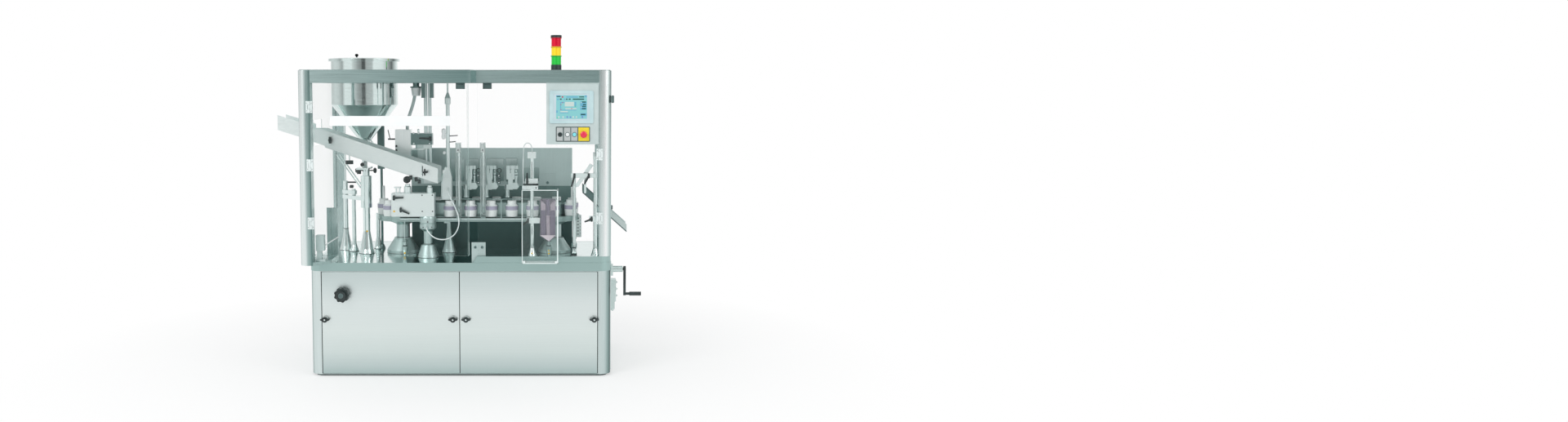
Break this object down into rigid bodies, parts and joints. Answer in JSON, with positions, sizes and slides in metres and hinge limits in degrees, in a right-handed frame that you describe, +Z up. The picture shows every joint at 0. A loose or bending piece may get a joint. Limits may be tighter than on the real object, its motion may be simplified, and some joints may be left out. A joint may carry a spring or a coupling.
{
  "type": "tube filling machine",
  "caption": "Floor standing tube filling machine with a cabinet, an oval filling track, hopper, infeed chute and clear hinged guards.",
  "frame": {"origin": "on the floor under the middle of the cabinet", "axes": "+X to the right along the flow, front at -Y, +Z up"},
  "size_m": [2.384, 1.2, 2.214],
  "materials": {
    "black_plastic": "matt",
    "brushed_steel": "satin",
    "button_plastic": "gloss",
    "clear_sheet": "clear",
    "dark_metal": "satin",
    "dark_plinth": "matt",
    "grey_plastic": "matt",
    "lamp_plastic": "gloss",
    "painted_grey": "satin",
    "panel_steel": "satin",
    "polished_steel": "polished",
    "satin_steel": "satin",
    "smoked_sheet": "clear",
    "white_hose": "gloss",
    "white_metal": "satin",
    "white_plastic": "gloss"
  },
  "bodies": {
    "root": {"bulkhead": "panel_steel", "cabinet_cover_panels": "brushed_steel", "cabinet_panel_left": "brushed_steel", "cabinet_panel_right": "brushed_steel", "cabinet_shell": "brushed_steel", "carriers": "white_plastic", "chute_columns": "polished_steel", "clamp_levers": "black_plastic", "column_hose": "white_hose", "control_buttons": "button_plastic", "crank_bracket": "black_plastic", "discharge_chute": "brushed_steel", "door_switches": "dark_metal", "drive_box": "brushed_steel", "filling_hose": "white_hose", "filling_nozzle": "brushed_steel", "hinge_leaves": "white_metal", "hopper_body": "polished_steel", "hopper_cone": "polished_steel", "hopper_lid": "polished_steel", "infeed_chute": "brushed_steel", "lamp_frame": "black_plastic", "lamp_modules": "lamp_plastic", "left_guard": "clear_sheet", "left_post": "brushed_steel", "loader_mast": "brushed_steel", "motor_conduit": "grey_plastic", "operator_housing": "painted_grey", "operator_screen": "grey_plastic", "plinth": "dark_plinth", "pneumatic_unit": "brushed_steel", "rear_guard": "clear_sheet", "rear_posts": "brushed_steel", "right_guard": "clear_sheet", "right_post": "brushed_steel", "roof_plate": "brushed_steel", "rotary_unit": "satin_steel", "ruler_column": "polished_steel", "side_columns": "polished_steel", "sight_tubes": "clear_sheet", "station_heads": "brushed_steel", "top_beam_left": "brushed_steel", "top_beam_rear": "brushed_steel", "top_beam_right": "brushed_steel", "top_beams_side": "brushed_steel", "track_rail": "satin_steel", "track_supports": "satin_steel", "worktop": "polished_steel"},
    "guard_door_left": {"left_door": "clear_sheet", "left_door_hinges": "white_metal"},
    "guard_door_right": {"right_door": "clear_sheet", "right_door_hinges": "white_metal", "reject_pocket": "clear_sheet", "reject_trough": "smoked_sheet"},
    "handwheel": {"handwheel": "black_plastic"},
    "crank": {"crank": "black_plastic"},
    "latch_1": {"wing_latch_1": "black_plastic"},
    "latch_2": {"wing_latch_2": "black_plastic"},
    "latch_3": {"wing_latch_3": "black_plastic"},
    "latch_4": {"wing_latch_4": "black_plastic"}
  },
  "joints": [
    {"name": "guard_door_left_hinge", "type": "hinge", "parent": "root", "child": "guard_door_left", "pos_m": [-0.924, -0.664, 0.742], "axis": [0, 0, -1], "range_deg": [0, 110]},
    {"name": "guard_door_right_hinge", "type": "hinge", "parent": "root", "child": "guard_door_right", "pos_m": [0.894, -0.534, 0.742], "axis": [0, 0, 1], "range_deg": [0, 110]},
    {"name": "handwheel_turn", "type": "hinge", "parent": "root", "child": "handwheel", "pos_m": [-0.756, -0.542, 0.54], "axis": [0, 1, 0], "continuous": true},
    {"name": "crank_turn", "type": "hinge", "parent": "root", "child": "crank", "pos_m": [1.06, -0.375, 0.679], "axis": [1, 0, 0], "continuous": true},
    {"name": "latch_1_turn", "type": "hinge", "parent": "root", "child": "latch_1", "pos_m": [-0.872, -0.536, 0.375], "axis": [0, 1, 0], "range_deg": [0, 90]},
    {"name": "latch_2_turn", "type": "hinge", "parent": "root", "child": "latch_2", "pos_m": [-0.048, -0.536, 0.375], "axis": [0, 1, 0], "range_deg": [0, 90]},
    {"name": "latch_3_turn", "type": "hinge", "parent": "root", "child": "latch_3", "pos_m": [0.036, -0.536, 0.375], "axis": [0, 1, 0], "range_deg": [0, 90]},
    {"name": "latch_4_turn", "type": "hinge", "parent": "root", "child": "latch_4", "pos_m": [0.862, -0.536, 0.375], "axis": [0, 1, 0], "range_deg": [0, 90]}
  ]
}
